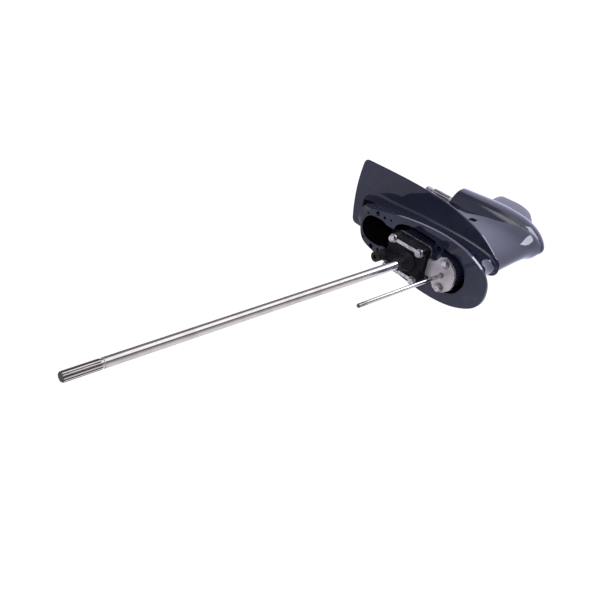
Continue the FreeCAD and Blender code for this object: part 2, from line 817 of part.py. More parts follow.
def crown_gear(side):
    # side 1 is the forward gear, side -1 the reverse gear
    first_turn = 0.0 if side > 0 else 180.0 / gear_teeth
    hub_end = gear_back_x + gear_hub_length
    gear = bevel_gear(gear_teeth, pinion_teeth, gear_addendum, pinion_addendum, gear_back_x,
                      gear_hub_r, hub_end, prop_front_r + running_gap, first_turn)
    # Turn the axis from +Z to +X, so that a tooth that pointed along +X points up
    gear.rotate(V(0, 0, 0), V(0, 1, 0), 90)
    gear.rotate(V(0, 0, 0), V(1, 0, 0), 180)
    if side < 0:
        gear.rotate(V(0, 0, 0), V(0, 0, 1), 180)
    gear.translate(V(0, 0, prop_axis_z))
    near, far = side * gear_lug_face_x, side * (gear_lug_face_x + lug_height + 2)
    gear = gear.fuse(lugs(lug_inner_r, dog_r, near, far, 30.0))
    if side < 0:
        gear = gear.cut(lengthwise(prop_mid_r + running_gap, -gear_lug_face_x + 1, -hub_end - 1))
    return gear


def pinion_bearing_cup():
    z1 = pinion_bearing_top()
    z0 = pinion_back_z()
    outer = pinion_bearing_r
    return turned_upright([(outer, z0), (outer, z1), (outer - 2.4, z1), (outer - 3.6, z0)])


def pinion_bearing_cone():
    # Inner ring and its rollers, which turn with the driveshaft
    z1 = pinion_bearing_top()
    z0 = pinion_back_z()
    ring = turned_upright([(shaft_r, z0 + 0.5), (shaft_r + 3.0, z0 + 0.5), (shaft_r + 4.2, z1), (shaft_r, z1)])
    gap_low, gap_high = shaft_r + 3.1, pinion_bearing_r - 3.6
    r = (gap_high - gap_low) / 2 - running_gap
    middle = (gap_high + gap_low) / 2
    lean = math.degrees(math.atan2(1.2, z1 - z0))
    roller = Part.makeCylinder(r, z1 - z0 - 3, V(middle, 0, z0 + 1.5))
    roller.rotate(V(middle, 0, z0), V(0, 1, 0), lean)
    return Part.makeCompound([ring] + round_upright(roller, pinion_rollers))


def crown_bearing_span(side):
    near = gear_back_x + 3.4
    return side * near, side * (near + crown_bearing_length)


def crown_cup(side):
    near, far = crown_bearing_span(side)
    outer = crown_bearing_r
    return turned_lengthwise([(near, outer - 4.0), (near, outer), (far, outer), (far, outer - 3.0)])


def crown_cone(side):
    near, far = crown_bearing_span(side)
    outline = [(near, gear_hub_r), (near, gear_hub_r + 2.4), (far, gear_hub_r + 3.6), (far, gear_hub_r)]
    ring = turned_lengthwise(outline)
    low, high = gear_hub_r + 2.5, crown_bearing_r - 4.0
    r = (high - low) / 2 - running_gap
    middle = (high + low) / 2
    x0 = min(near, far) + 1.4
    roller = lengthwise(r, x0, x0 + crown_bearing_length - 2.8, 0.0, prop_axis_z + middle)
    lean = math.degrees(math.atan2(1.0, crown_bearing_length))
    roller.rotate(V(near, 0, prop_axis_z + middle), V(0, 1, 0), -side * lean)
    return Part.makeCompound([ring] + round_prop_axis(roller, crown_rollers))


# Clutch and shift linkage

def clutch_dog():
    body = lengthwise(dog_r, -dog_body_half, dog_body_half)
    pieces = lugs(lug_inner_r, dog_r, dog_body_half - 0.5, dog_body_half + lug_height, 0.0)
    pieces += lugs(lug_inner_r, dog_r, -dog_body_half - lug_height, -dog_body_half + 0.5, 0.0)
    body = body.fuse(pieces)
    groove = ring_x(dog_r + 1, dog_r - 1.4, -1.2, 1.2)
    pin_hole = upright(cross_pin_r, prop_axis_z - dog_r - 1, prop_axis_z + dog_r + 1)
    bore = lengthwise(prop_front_r + running_gap, -20, 20)
    return body.cut([groove, pin_hole, bore])


def cross_pin():
    half = dog_r - 1.8
    return upright(cross_pin_r, prop_axis_z - half, prop_axis_z + half)


def cross_pin_ring():
    return ring_x(dog_r - 0.2, dog_r - 1.4, -1.0, 1.0)


def plunger_neck_x():
    return follower_rear_x - 1.5


def shift_plunger():
    # Slides in the bore of the propeller shaft, with a head that the follower holds
    neck = plunger_neck_x()
    profile = [(-7, 0), (-7, plunger_r - 0.6), (-6.4, plunger_r), (neck - 6, plunger_r)]
    profile += [(neck - 4.5, 2.8), (neck + 4.6, 2.8), (neck + 4.6, 4.4), (neck + 7.4, 4.4), (neck + 7.4, 0)]
    plunger = turned_lengthwise(profile)
    return plunger.cut(upright(cross_pin_r, prop_axis_z - 9, prop_axis_z + 9))


def cam_follower():
    body = lengthwise(follower_r, follower_rear_x, follower_front_x)
    neck = plunger_neck_x()
    slot_half = crank_pin_r + 0.3
    top = prop_axis_z + follower_r + 1
    cuts = [
        block(rod_x - slot_half, rod_x + slot_half, -follower_r - 1, follower_r + 1,
              prop_axis_z - 3.5, top),
        lengthwise(4.7, neck + 4.3, neck + 7.7),
        block(neck + 4.3, neck + 7.7, -4.7, 4.7, prop_axis_z - follower_r - 1, prop_axis_z),
        lengthwise(3.1, follower_rear_x - 1, neck + 5),
        block(follower_rear_x - 1, neck + 5, -3.1, 3.1, prop_axis_z - follower_r - 1, prop_axis_z),
    ]
    return body.cut(cuts)


def crank_disc_z():
    return prop_axis_z + follower_r + 0.5


def shift_cam():
    # Disc on the foot of the shift rod whose off-centre pin moves the follower
    low = crank_disc_z()
    disc = upright(crank_disc_r, low, low + crank_disc_height, rod_x)
    pin = upright(crank_pin_r, prop_axis_z - 2.5, low + 1, rod_x, -crank_offset)
    return disc.fuse(pin).cut(upright(rod_r, low + 1.5, low + crank_disc_height + 1, rod_x))


def rod_groove(z0, depth, width):
    return ring_z(rod_r + 1, rod_r - depth, z0, z0 + width, rod_x)


def shift_rod():
    foot = crank_disc_z() + 1.5
    top = rod_top_z
    spline_z = top - rod_spline_length
    rod = turned_upright([(0, foot), (rod_r, foot), (rod_r, top - 1.2), (rod_r - 1, top), (0, top)], rod_x)
    grooves = [
        rod_groove(rod_clip_z(), rod_groove_depth, rod_groove_width),
        rod_groove(rod_wiper_z, rod_groove_depth, rod_groove_width),
        rod_groove(spline_z - 3, rod_spline_depth, 3),
    ]
    splines = spline_cutters(rod_r, rod_spline_depth, rod_spline_teeth, spline_z, top + 1, rod_x)
    return rod.cut(grooves + splines)


def rod_clip_z():
    return island_top_z - 6.0


def shift_rod_clip():
    z0 = rod_clip_z()
    z1 = z0 + rod_groove_width
    ring = ring_z(rod_r + 1.2, rod_r - rod_groove_depth, z0, z1, rod_x)
    return ring.cut(block(rod_x, rod_x + 9, -1.6, 1.6, z0 - 1, z1 + 1))


def retainer_prism(z0, height):
    # Straight edges with a hollow beside each front bolt hole of the flange, and a lobe for each bolt
    corners = [V(x, y, z0) for x, y in retainer_half] + [V(x, -y, z0) for x, y in reversed(retainer_half)]
    return Part.Face(Part.makePolygon(corners + corners[:1])).extrude(V(0, 0, height))


def retainer_holes(z0, z1):
    holes = [upright(m8_r, z0, z1, retainer_bolt_x, side * retainer_bolt_y) for side in (-1, 1)]
    return holes + [pump_footprint(z0, z1 - z0, retainer_gap)]


def shift_rod_retainer():
    z0 = island_top_z + pump_gasket
    z1 = island_top_z + retainer_thickness
    body = retainer_prism(z0, z1 - z0)
    sides = [e for e in body.Edges if e.BoundBox.ZLength > 1 and e.BoundBox.XMin > 40]
    body = body.makeFillet(retainer_round, sides)
    rod_hole = upright(rod_r + rod_clearance, z0 - 1, z1 + 1, rod_x)
    seal_seat = upright(rod_r + rod_seal_width, z0 - 1, z0 + rod_seal_height, rod_x)
    return body.cut(retainer_holes(z0 - 1, z1 + 1) + [rod_hole, seal_seat])


def shift_rod_seal():
    z0 = island_top_z + pump_gasket
    return ring_z(rod_r + rod_seal_width, rod_r + 0.1, z0, z0 + rod_seal_height, rod_x)


def retainer_gasket():
    z0 = island_top_z
    z1 = z0 + pump_gasket
    case_top = prism(closed_outline(island_half, z0 - 1), 4)
    cuts = retainer_holes(z0 - 1, z1 + 1) + flange_notches()
    cuts.append(upright(rod_r + rod_seal_width, z0 - 1, z1 + 1, rod_x))
    return retainer_prism(z0, z1 - z0).common(case_top).cut(cuts)


def retainer_bolts():
    seat = island_top_z + retainer_thickness
    return Part.makeCompound([hex_bolt(retainer_bolt_x, side * retainer_bolt_y, seat, 24) for side in (-1, 1)])


# Water pump

def rounded_block(x0, x1, half, z0, height, corner):
    body = block(x0, x1, -half, half, z0, z0 + height)
    uprights = [e for e in body.Edges if e.BoundBox.ZLength > height - 0.01]
    return body.makeFillet(corner, uprights)


def pump_footprint(z0, height, grow=0.0):
    half = pump_half_width + grow
    return rounded_block(pump_rear_x - grow, pump_front_x + grow, half, z0, height, pump_corner)


def pump_holes(z0, z1):
    return [upright(m8_r, z0, z1, x, side * pump_bolt_y) for x in pump_bolt_xs for side in (-1, 1)]


def pump_foot_z():
    return island_top_z + 2 * pump_gasket + pump_plate_thickness


def water_pump_housing():
    z0 = pump_foot_z()
    foot = pump_footprint(z0, pump_foot_height)
    body = rounded_block(pump_rear_x + pump_inset, pump_front_x - pump_inset, pump_half_width - pump_inset,
                         z0 + pump_foot_height - 1, pump_top_z - z0 - pump_foot_height + 1, pump_corner - 1)
    rim = [e for e in body.Edges if e.BoundBox.ZMin > pump_top_z - 0.01]
    body = body.makeFillet(2.0, rim)
    shoulder_r = pump_tower_r + 7
    tower_profile = [(0, pump_top_z - 2), (shoulder_r, pump_top_z - 2), (shoulder_r, pump_top_z + 3)]
    tower_profile += [(pump_tower_r + 1, pump_top_z + 11), (pump_tower_r - 1, pump_tower_z - 1.5)]
    tower = turned_upright(tower_profile + [(pump_tower_r - 2.5, pump_tower_z), (0, pump_tower_z)])
    outlet = upright(outlet_boss_r + 3, z0 + 2, outlet_seat_z(), outlet_x, outlet_y)
    stub = upright(outlet_boss_r, z0 + 2, outlet_seat_z() + outlet_stub_height, outlet_x, outlet_y)
    duct_turn = math.degrees(math.atan2(outlet_y, outlet_x))
    duct = Part.makeBox(60, 2 * outlet_boss_r, pump_top_z + 4 - z0 - 2, V(0, -outlet_boss_r, z0 + 2))
    duct.rotate(V(0, 0, 0), V(0, 0, 1), duct_turn)
    seat_r = m8_head_af * seat_share
    places = [(x, y) for x in pump_bolt_xs for y in (-pump_bolt_y, pump_bolt_y)]
    seats = [upright(seat_r, z0 + 3, pump_top_z, x, y) for x, y in places]
    whole = foot.fuse([body, tower, outlet, stub, duct] + seats)
    cuts = [upright(cup_r + cup_wall, z0 - 1, cup_top_z() + cup_wall, 0, cup_offset_y)]
    cuts += pump_holes(z0 - 1, pump_top_z + 1)
    cuts.append(upright(shaft_r + running_gap, z0, pump_tower_z + 1))
    cuts.append(upright(outlet_stub_bore_r, z0 + 8, pump_tower_z + 1, outlet_x, outlet_y))
    cuts.append(outlet_passage())
    return whole.cut(cuts)


def cup_top_z():
    return pump_foot_z() + impeller_height + 1.6


def outlet_passage():
    # Level way from the impeller's chamber to the foot of the outlet tube
    way = V(-outlet_x, -outlet_y, 0)
    length = way.Length - cup_r + 4
    return Part.makeCylinder(outlet_stub_bore_r, length, V(outlet_x, outlet_y, pump_foot_z() + 11), way)


def outlet_seat_z():
    return pump_top_z + 7.0


def water_tube_grommet():
    z0 = outlet_seat_z()
    top = pump_tower_z
    stub_top = z0 + outlet_stub_height
    profile = [(outlet_boss_r, z0), (outlet_r, z0), (outlet_r, top - 1.5), (outlet_r - 1.5, top)]
    profile += [(outlet_bore_r, top), (outlet_bore_r, stub_top), (outlet_boss_r, stub_top)]
    return turned_upright(profile, outlet_x, outlet_y)


def pump_cup():
    z0 = pump_foot_z()
    top = cup_top_z()
    outer = cup_r + cup_wall
    rim = shaft_r + 2
    profile = [(outer, z0), (outer, top + cup_wall), (rim, top + cup_wall)]
    profile += [(rim, top), (cup_r, top), (cup_r, z0)]
    cup = turned_upright(profile, 0, cup_offset_y)
    return cup.cut([outlet_passage(), upright(shaft_r + 1, z0, top + 5)])


def pump_base_plate():
    z0 = island_top_z + pump_gasket
    sheet = pump_footprint(z0, pump_plate_thickness)
    openings = [upright(shaft_r + 1.5, z0 - 1, z0 + 4), pump_inlet_slot(z0 - 1, z0 + 4)]
    return sheet.cut(pump_holes(z0 - 1, z0 + 5) + openings)


def pump_inlet_slot(z0, z1):
    return block(pump_inlet_x - 2.5, pump_inlet_x + 2.0, -6, 6, z0, z1)


def pump_gaskets():
    sheets = []
    for z0 in (island_top_z, island_top_z + pump_gasket + pump_plate_thickness):
        sheet = pump_footprint(z0, pump_gasket)
        opening = cup_r + cup_wall if z0 > island_top_z else seal_carrier_r
        middle = cup_offset_y if z0 > island_top_z else 0.0
        water = block(inlet_x - water_way_r, pump_inlet_x + 2, -water_way_r, water_way_r, z0 - 1, z0 + 2)
        openings = [upright(opening, z0 - 1, z0 + 2, 0, middle)]
        if z0 == island_top_z:
            openings.append(water)
        sheets.append(sheet.cut(pump_holes(z0 - 1, z0 + 2) + openings))
    return Part.makeCompound(sheets)


def pump_bolt_strips():
    strips = []
    for side in (-1, 1):
        y = side * pump_bolt_y
        top = pump_top_z + pump_strip_thickness
        bar = block(pump_bolt_xs[0], pump_bolt_xs[1], y - pump_strip_half_width, y + pump_strip_half_width,
                    pump_top_z, top)
        eyes = [upright(m8_head_af * eye_share, pump_top_z, top, x, y) for x in pump_bolt_xs]
        holes = [upright(m8_r, pump_top_z - 1, pump_top_z + 4, x, y) for x in pump_bolt_xs]
        strips.append(bar.fuse(eyes).cut(holes).removeSplitter())
    return Part.makeCompound(strips)


def pump_bolts():
    seat = pump_top_z + pump_strip_thickness
    length = seat - island_top_z + 18
    bolts = [hex_bolt(x, side * pump_bolt_y, seat, length) for x in pump_bolt_xs for side in (-1, 1)]
    return Part.makeCompound(bolts)


def driveshaft_seal_carrier():
    z0 = seal_carrier_floor_z()
    body = ring_z(seal_carrier_r, shaft_r + 1.5, z0, island_top_z)
    return body.cut(upright(seal_r, z0 + 2, island_top_z + 1))


def lip_seal_upright(z0, height):
    # Outer shell with a lip that leans in to the shaft
    lip = shaft_r + running_gap
    profile = [(seal_r, z0), (seal_r, z0 + height), (shaft_r + 3.5, z0 + height), (lip, z0 + height * 0.45)]
    profile += [(lip, z0 + height * 0.3), (shaft_r + 2.0, z0 + height * 0.3), (shaft_r + 2.0, z0)]
    return turned_upright(profile)


def driveshaft_seals():
    z0 = seal_carrier_floor_z() + 2
    height = (island_top_z - z0) / 2 - 0.1
    return Part.makeCompound([lip_seal_upright(z0, height), lip_seal_upright(z0 + height + 0.1, height)])


def upper_shaft_bearing():
    z1 = needle_top_z
    shell = ring_z(needle_r, needle_r - 1.6, z1 - needle_length, z1)
    r = (needle_r - 1.6 - shaft_r) / 2 - running_gap
    roller = Part.makeCylinder(r, needle_length - 2, V(shaft_r + r + running_gap, 0, z1 - needle_length + 1))
    return Part.makeCompound([shell] + round_upright(roller, upper_rollers))


# Propeller shaft and its carrier

def propeller_shaft():
    profile = [(prop_front_x, 0), (prop_front_x, prop_front_r - 0.8), (prop_front_x - 0.8, prop_front_r)]
    profile += [(prop_step_x, prop_front_r), (prop_step_x, prop_mid_r)]
    profile += [(prop_seal_x, prop_mid_r), (prop_seal_x - 1.5, prop_seal_r), (prop_taper_x, prop_seal_r)]
    profile += [(prop_pilot_x, prop_pilot_r), (prop_spline_x, prop_pilot_r), (prop_spline_x, prop_spline_r)]
    profile += [(prop_spline_end_x, prop_spline_r), (prop_spline_end_x, prop_thread_r)]
    profile += [(prop_end_x + 1.2, prop_thread_r), (prop_end_x, prop_thread_r - 1.2), (prop_end_x, 0)]
    shaft = turned_lengthwise(profile)
    bore = lengthwise(plunger_r + plunger_gap, prop_step_x, prop_front_x + 1)
    slot_half = shift_travel + cross_pin_r + 0.25
    side_gap = cross_pin_r + 0.1
    slot = block(-slot_half, slot_half, -side_gap, side_gap,
                 prop_axis_z - prop_mid_r - 1, prop_axis_z + prop_mid_r + 1)
    cuts = [bore, slot]
    width = math.pi * prop_spline_r / prop_spline_teeth
    groove_foot = prop_axis_z + prop_spline_r - prop_spline_depth
    groove = block(prop_spline_end_x - 1, prop_spline_x, -width / 2, width / 2, groove_foot, groove_foot + 4)
    cuts += round_prop_axis(groove, prop_spline_teeth)
    cotter = Part.makeCylinder(1.8, 40, V(prop_end_x + 7, -20, prop_axis_z), V(0, 1, 0))
    return shaft.cut(cuts + [cotter])


def carrier_r():
    return case_bore_r - carrier_gap


def carrier_hub_end_x():
    return ring_nut_front_x - 3.0


def bearing_carrier():
    outer = carrier_r()
    back = -crown_seat_front_x()
    hub_end = carrier_hub_end_x()
    bore = prop_seal_r + carrier_bore_gap
    front = carrier_front_x - 1
    profile = [(front, crown_bearing_r), (front, outer), (carrier_web_x - 4, outer)]
    profile += [(carrier_web_x - 9, carrier_hub_r), (hub_end, carrier_hub_r), (hub_end, bore)]
    profile += [(back, bore), (back, crown_bearing_r)]
    body = turned_lengthwise(profile)
    ring = ring_x(outer, carrier_ring_r, carrier_ring_x, ring_nut_front_x)
    half = carrier_rib_thickness / 2
    rib = block(ring_nut_front_x, carrier_ring_x + 16, -half, half,
                prop_axis_z + carrier_hub_r - 1, prop_axis_z + carrier_ring_r + 1)
    # The ribs stand at 45 degrees, clear of the wide exhaust way above and below
    rib.rotate(V(0, 0, prop_axis_z), V(1, 0, 0), 45)
    needle_seat = lengthwise(carrier_needle_r, carrier_needle_x(), carrier_needle_x() - carrier_needle_length)
    seal_seat = lengthwise(prop_seal_outer_r, hub_end - 1, hub_end + prop_seal_length)
    groove_half = o_ring_width / 2 + 0.2
    groove = ring_x(outer + 1, outer - o_ring_depth, o_ring_x - groove_half, o_ring_x + groove_half)
    return body.fuse([ring] + round_prop_axis(rib, carrier_ribs)).cut([needle_seat, seal_seat, groove])


def carrier_needle_x():
    return -crown_seat_front_x() - 4.0


def carrier_o_ring():
    outer = carrier_r()
    return ring_x(outer, outer - o_ring_depth, o_ring_x - o_ring_width / 2, o_ring_x + o_ring_width / 2)


def carrier_ring_nut():
    rear = ring_nut_front_x - ring_nut_length
    ring = ring_x(carrier_r(), carrier_ring_r, rear, ring_nut_front_x)
    notch = block(rear - 1, rear + 3, -3, 3, prop_axis_z + carrier_ring_r - 1, prop_axis_z + carrier_ring_r + 3)
    return ring.cut(round_prop_axis(notch, ring_nut_notches))


def carrier_needle_bearing():
    x1 = carrier_needle_x()
    x0 = x1 - carrier_needle_length
    shell = ring_x(carrier_needle_r, carrier_needle_r - 1.2, x0, x1)
    r = (carrier_needle_r - 1.2 - prop_mid_r) / 2 - running_gap
    roller = lengthwise(r, x0 + 1, x1 - 1, 0.0, prop_axis_z + prop_mid_r + r + running_gap)
    return Part.makeCompound([shell] + round_prop_axis(roller, carrier_rollers))


def propshaft_seals():
    # Two lip seals, back to back
    seals = []
    length = prop_seal_length / 2 - 0.1
    lip = prop_seal_r + running_gap
    for i in range(2):
        x0 = carrier_hub_end_x() + i * (length + 0.1)
        x1 = x0 + length
        web = prop_seal_r + 2
        profile = [(x0, prop_seal_outer_r), (x1, prop_seal_outer_r), (x1, web)]
        profile += [(x0 + length * 0.7, web), (x0 + length * 0.7, lip), (x0 + length * 0.5, lip)]
        profile.append((x0, prop_seal_r + 3))
        seals.append(turned_lengthwise(profile))
    return Part.makeCompound(seals)


# Trim tab, screens, plugs

def trim_tab():
    low = plate_z - plate_thickness
    disc = upright(tab_disc_r, low - tab_disc_height, low, tab_x)
    # Share of the depth, and how far the front and rear edges have drawn in there
    steps = [(0.0, 0.0, 0.0), (0.5, 3.0, 5.0), (1.0, 12.0, 16.0)]
    sections = []
    for share, front, rear in steps:
        half = tab_half_width * (1 - tab_thinning * share)
        z = low - tab_disc_height + 1 - share * tab_depth
        sections.append((foil(tab_front_x - front, tab_rear_x + rear, half), z))
    fin = skin(sections, True)
    hole = upright(tab_bolt_r, low + 1, low - 20, tab_x)
    return disc.fuse(fin).cut(hole)


def trim_tab_bolt():
    low = plate_z - plate_thickness - 17
    bolt = upright(tab_bolt_r, low, tab_bolt_seat_z, tab_x)
    head = upright(tab_plug_r - 1.0, tab_bolt_seat_z, tab_bolt_seat_z + 8, tab_x)
    socket = hexagon_prism(6.0, tab_bolt_seat_z + 4, 10, tab_x, 0)
    return bolt.fuse(head).cut(socket)


def tab_bolt_plug():
    return upright(tab_plug_r, tab_boss_top_z - tab_plug_height, tab_boss_top_z, tab_x)


def oil_plugs():
    plugs = []
    for x, z, face_y in oil_plug_places:
        head = Part.makeCylinder(plug_head_r, plug_head_height, V(x, face_y - plug_gasket, z), V(0, -1, 0))
        shank = Part.makeCylinder(plug_r, plug_length + plug_gasket, V(x, face_y - plug_gasket, z), V(0, 1, 0))
        top = face_y - plug_gasket - plug_head_height
        slot = block(x - plug_head_r, x + plug_head_r, top - 1, top + 1.2, z - 0.8, z + 0.8)
        plugs.append(head.fuse(shank).cut(slot))
    return Part.makeCompound(plugs)


def oil_plug_gaskets():
    rings = []
    for x, z, face_y in oil_plug_places:
        outer = Part.makeCylinder(plug_head_r, plug_gasket, V(x, face_y, z), V(0, -1, 0))
        rings.append(outer.cut(Part.makeCylinder(plug_r, 4, V(x, face_y + 1, z), V(0, -1, 0))))
    return Part.makeCompound(rings)


def water_inlet_screens():
    screens = []
    for side in (-1, 1):
        inner = strut_side_y() - inlet_depth
        low, high = sorted((side * inner, side * (inner + screen_thickness)))
        half_l, half_h = inlet_length / 2 - 0.1, inlet_height / 2 - 0.1
        sheet = block(inlet_x - half_l, inlet_x + half_l, low, high, inlet_z - half_h, inlet_z + half_h)
        slots = []
        for i in range(4):
            x = inlet_x - half_l + 2.6 + i * 3.4
            slots.append(block(x, x + 1.7, low - 1, high + 1, inlet_z - half_h + 2, inlet_z + half_h - 2))
        screens.append(sheet.cut(slots))
    return Part.makeCompound(screens)


# Every node of the assembly and the function that models it
nodes = {
    "gearcase_housing": gearcase_housing,
    "driveshaft": driveshaft,
    "pinion_gear": pinion_gear,
    "pinion_nut": pinion_nut,
    "pinion_bearing_cup": pinion_bearing_cup,
    "pinion_bearing_cone": pinion_bearing_cone,
    "driveshaft_slinger": driveshaft_slinger,
    "impeller": impeller,
    "impeller_key": impeller_key,
    "water_pump_housing": water_pump_housing,
    "water_tube_grommet": water_tube_grommet,
    "pump_cup": pump_cup,
    "pump_base_plate": pump_base_plate,
    "pump_gaskets": pump_gaskets,
    "pump_bolt_strips": pump_bolt_strips,
    "pump_bolts": pump_bolts,
    "driveshaft_seal_carrier": driveshaft_seal_carrier,
    "driveshaft_seals": driveshaft_seals,
    "upper_shaft_bearing": upper_shaft_bearing,
    "forward_gear": lambda: crown_gear(1),
    "forward_bearing_cup": lambda: crown_cup(1),
    "forward_bearing_cone": lambda: crown_cone(1),
    "reverse_gear": lambda: crown_gear(-1),
    "reverse_bearing_cup": lambda: crown_cup(-1),
    "reverse_bearing_cone": lambda: crown_cone(-1),
    "clutch_dog": clutch_dog,
    "clutch_cross_pin": cross_pin,
    "cross_pin_ring": cross_pin_ring,
    "shift_plunger": shift_plunger,
    "cam_follower": cam_follower,
    "shift_cam": shift_cam,
    "shift_rod": shift_rod,
    "shift_rod_clip": shift_rod_clip,
    "shift_rod_retainer": shift_rod_retainer,
    "retainer_bolts": retainer_bolts,
    "shift_rod_seal": shift_rod_seal,
    "retainer_gasket": retainer_gasket,
    "propeller_shaft": propeller_shaft,
    "bearing_carrier": bearing_carrier,
    "carrier_o_ring": carrier_o_ring,
    "carrier_ring_nut": carrier_ring_nut,
    "carrier_needle_bearing": carrier_needle_bearing,
    "propshaft_seals": propshaft_seals,
    "trim_tab": trim_tab,
    "trim_tab_bolt": trim_tab_bolt,
    "tab_bolt_plug": tab_bolt_plug,
    "oil_plugs": oil_plugs,
    "oil_plug_gaskets": oil_plug_gaskets,
    "water_inlet_screens": water_inlet_screens,
}

os.makedirs("parts", exist_ok=True)
for name, model in nodes.items():
    shape = model()
    shape.exportStep("parts/" + name + ".step")
    print(name, len(shape.Solids), round(shape.Volume), shape.isValid())
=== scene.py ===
import bpy
import json
import math
from mathutils import Matrix, Vector


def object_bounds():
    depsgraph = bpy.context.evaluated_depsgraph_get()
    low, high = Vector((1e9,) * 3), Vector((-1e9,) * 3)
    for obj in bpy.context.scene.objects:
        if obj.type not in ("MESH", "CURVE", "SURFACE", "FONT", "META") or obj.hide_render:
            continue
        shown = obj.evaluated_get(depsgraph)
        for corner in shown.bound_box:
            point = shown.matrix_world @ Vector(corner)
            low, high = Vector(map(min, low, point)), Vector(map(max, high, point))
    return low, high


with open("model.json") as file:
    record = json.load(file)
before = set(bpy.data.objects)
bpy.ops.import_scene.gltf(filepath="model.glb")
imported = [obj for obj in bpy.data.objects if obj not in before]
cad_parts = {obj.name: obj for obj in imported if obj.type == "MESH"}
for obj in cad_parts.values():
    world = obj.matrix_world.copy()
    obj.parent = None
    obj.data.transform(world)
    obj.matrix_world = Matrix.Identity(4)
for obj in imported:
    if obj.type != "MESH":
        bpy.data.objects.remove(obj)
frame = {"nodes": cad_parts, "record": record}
cadLow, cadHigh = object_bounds()
nodes = frame["nodes"]


class Wire:
    # one socket of a material's tree; sums and products of wires add Math nodes
    def __init__(self, tree, socket=None):
        self.tree = tree
        self.socket = socket

    def node(self, kind, settings, sockets, out=0):
        made = self.tree.nodes.new(kind)
        for name, value in settings.items():
            if name == "stops":
                putStops(made.color_ramp, value)
            else:
                setattr(made, name, value)
        for name, value in sockets.items():
            if isinstance(value, Wire):
                self.tree.links.new(value.socket, made.inputs[name])
            else:
                made.inputs[name].default_value = value
        return Wire(self.tree, made.outputs[out])

    def maths(self, operation, first, second):
        return self.node("ShaderNodeMath", {"operation": operation}, {0: first, 1: second})

    def __add__(self, other):
        return self.maths("ADD", self, other)

    def __radd__(self, other):
        return self.maths("ADD", other, self)

    def __sub__(self, other):
        return self.maths("SUBTRACT", self, other)

    def __rsub__(self, other):
        return self.maths("SUBTRACT", other, self)

    def __mul__(self, other):
        return self.maths("MULTIPLY", self, other)

    def __rmul__(self, other):
        return self.maths("MULTIPLY", other, self)

    def __pow__(self, other):
        return self.maths("POWER", self, other)


def putStops(ramp, stops):
    while len(ramp.elements) > 1:
        ramp.elements.remove(ramp.elements[-1])
    ramp.elements[0].position, ramp.elements[0].color = stops[0]
    for position, colour in stops[1:]:
        ramp.elements.new(position).color = colour


def place(tree):
    # metres in the frame of the part, because every object's own origin is the part's origin
    return Wire(tree).node("ShaderNodeTexCoord", {}, {}, "Object")


def part(p, axis):
    return p.node("ShaderNodeSeparateXYZ", {}, {0: p}, axis)


def distance(first, second):
    return (first * first + second * second) ** 0.5


def facing(tree, axis):
    # how far the surface faces that axis of the part, -1 to 1
    return part(Wire(tree).node("ShaderNodeNewGeometry", {}, {}, "Normal"), axis)


def stretched(p, x, y, z):
    return p.node("ShaderNodeVectorMath", {"operation": "MULTIPLY"}, {0: p, 1: (x, y, z)})


def noise(p, scale, detail=2.0, roughness=0.5):
    sockets = {"Vector": p, "Scale": scale, "Detail": detail, "Roughness": roughness}
    return p.node("ShaderNodeTexNoise", {}, sockets)


def cells(p, scale):
    return p.node("ShaderNodeTexVoronoi", {"feature": "F1"}, {"Vector": p, "Scale": scale}, "Distance")


def between(value, low, high, outLow=0.0, outHigh=1.0):
    sockets = {"Value": value, "From Min": low, "From Max": high, "To Min": outLow, "To Max": outHigh}
    return value.node("ShaderNodeMapRange", {"clamp": True}, sockets)


def band(value, low, high, soft):
    # 1 between low and high, falling to 0 over soft
    return between(value, low - soft, low) * between(value, high + soft, high)


def mixed(share, first, second):
    return share.node("ShaderNodeMix", {"data_type": "RGBA"}, {0: share, 6: first, 7: second}, 2)


def bumped(height, strength, depth, under=None):
    sockets = {"Strength": strength, "Distance": depth, "Height": height}
    if under:
        sockets["Normal"] = under
    return height.node("ShaderNodeBump", {}, sockets)


def rgb(r, g, b):
    return (r, g, b, 1.0)


def surface(colour, rough, normal):
    return {"Base Color": colour, "Roughness": rough, "Normal": normal}


def finishOf(name, constants, recipe):
    # constants go straight on the shader's sockets; the recipe gives what varies over the surface
    material = bpy.data.materials.new(name)
    material.use_nodes = True
    tree = material.node_tree
    shader = tree.nodes["Principled BSDF"]
    for socket, value in constants.items():
        shader.inputs[socket].default_value = value
    for socket, wire in recipe(tree).items():
        tree.links.new(wire.socket, shader.inputs[socket])
    return material


# In every finish below a noise is (scale, detail, roughness), a ...Span says over which values of that
# noise the look changes, roughness is (least, most), and a bump is (strength, depth in metres)
noiseSpan = (0.3, 0.7)


def roughened(value, look):
    return between(value, *noiseSpan, *look["roughness"])


# Gearcase paint: dark metallic blue under a hard clear coat
casePaint = {
    "deep": rgb(0.0095, 0.0105, 0.0250),
    "lifted": rgb(0.0170, 0.0185, 0.0400),
    "drift": (9.0, 3.0),
    "driftSpan": (0.35, 0.70),
    "flake": rgb(0.075, 0.080, 0.125),
    "flakeScale": 2600.0,
    "flakeSpan": (0.16, 0.06),
    "flakeShare": 0.30,
    "dust": rgb(0.150, 0.150, 0.160),
    "smudge": (22.0, 5.0, 0.62),
    "smudgeSpan": (0.50, 0.78),
    "lyingSpan": (0.75, 1.0),  # dust lies only where the paint faces up
    "dustShare": 0.10,
    "rub": (55.0, 4.0),
    "roughness": (0.29, 0.40),
    "peel": (240.0, 2.0),
    "swell": (70.0, 2.0),
    "swellShare": 0.6,
    "bump": (0.05, 0.0006),
}

